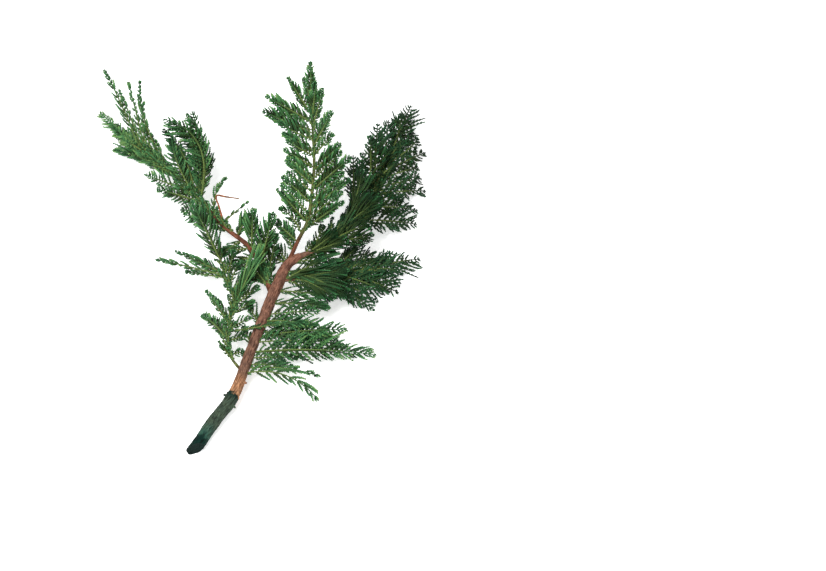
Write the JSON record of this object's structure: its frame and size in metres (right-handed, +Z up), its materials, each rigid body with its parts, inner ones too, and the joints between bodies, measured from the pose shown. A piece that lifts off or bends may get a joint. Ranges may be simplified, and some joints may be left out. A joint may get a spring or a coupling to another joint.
{
  "type": "preserved thuja branch",
  "caption": "Cut, preserved thuja branch lying on a surface: a woody stem that forks into limbs, with flat, feathery sprays of dyed green scale-leaved foliage.",
  "frame": {"origin": "on the surface that the branch lies on, under the middle of its bounding box", "axes": "+Y from the cut end of the stem towards the tips, +Z up from the surface, +X to the right"},
  "size_m": [0.2987, 0.4437, 0.1128],
  "materials": {
    "bark": "matte reddish brown bark, dyed dark grey-green at the cut end",
    "red_twig": "matte red-brown twig bark",
    "green_twig": "matte olive green young twig, red-brown at its foot",
    "foliage": "satin, dyed deep green, brighter and yellower towards the tips"
  },
  "bodies": {
    "root": {"main_stem": "bark", "left_limb": "red_twig", "low_left_twig": "green_twig", "middle_limb": "green_twig", "right_limb": "red_twig", "lower_right_limb": "red_twig", "snapped_twig": "red_twig", "main_stem_spray_01": "foliage", "main_stem_spray_02": "foliage", "main_stem_spray_03": "foliage", "main_stem_spray_04": "foliage", "left_limb_spray_01": "foliage", "left_limb_spray_02": "foliage", "left_limb_spray_03": "foliage", "left_limb_spray_04": "foliage", "left_limb_spray_05": "foliage", "left_limb_spray_06": "foliage", "left_limb_spray_07": "foliage", "left_limb_spray_08": "foliage", "left_limb_spray_09": "foliage", "left_limb_spray_10": "foliage", "left_limb_spray_11": "foliage", "left_limb_spray_12": "foliage", "low_left_twig_spray_01": "foliage", "low_left_twig_spray_02": "foliage", "low_left_twig_spray_03": "foliage", "low_left_twig_spray_04": "foliage", "low_left_twig_spray_05": "foliage", "middle_limb_spray_01": "foliage", "middle_limb_spray_02": "foliage", "middle_limb_spray_03": "foliage", "middle_limb_spray_04": "foliage", "middle_limb_spray_05": "foliage", "middle_limb_spray_06": "foliage", "middle_limb_spray_07": "foliage", "middle_limb_spray_08": "foliage", "middle_limb_spray_09": "foliage", "middle_limb_spray_10": "foliage", "middle_limb_spray_11": "foliage", "middle_limb_spray_12": "foliage", "middle_limb_spray_13": "foliage", "middle_limb_spray_14": "foliage", "middle_limb_spray_15": "foliage", "middle_limb_spray_16": "foliage", "right_limb_spray_01": "foliage", "right_limb_spray_02": "foliage", "right_limb_spray_03": "foliage", "right_limb_spray_04": "foliage", "right_limb_spray_05": "foliage", "right_limb_spray_06": "foliage", "right_limb_spray_07": "foliage", "right_limb_spray_08": "foliage", "lower_right_limb_spray_01": "foliage", "lower_right_limb_spray_02": "foliage", "lower_right_limb_spray_03": "foliage", "lower_right_limb_spray_04": "foliage", "lower_right_limb_spray_05": "foliage"}
  },
  "joints": []
}
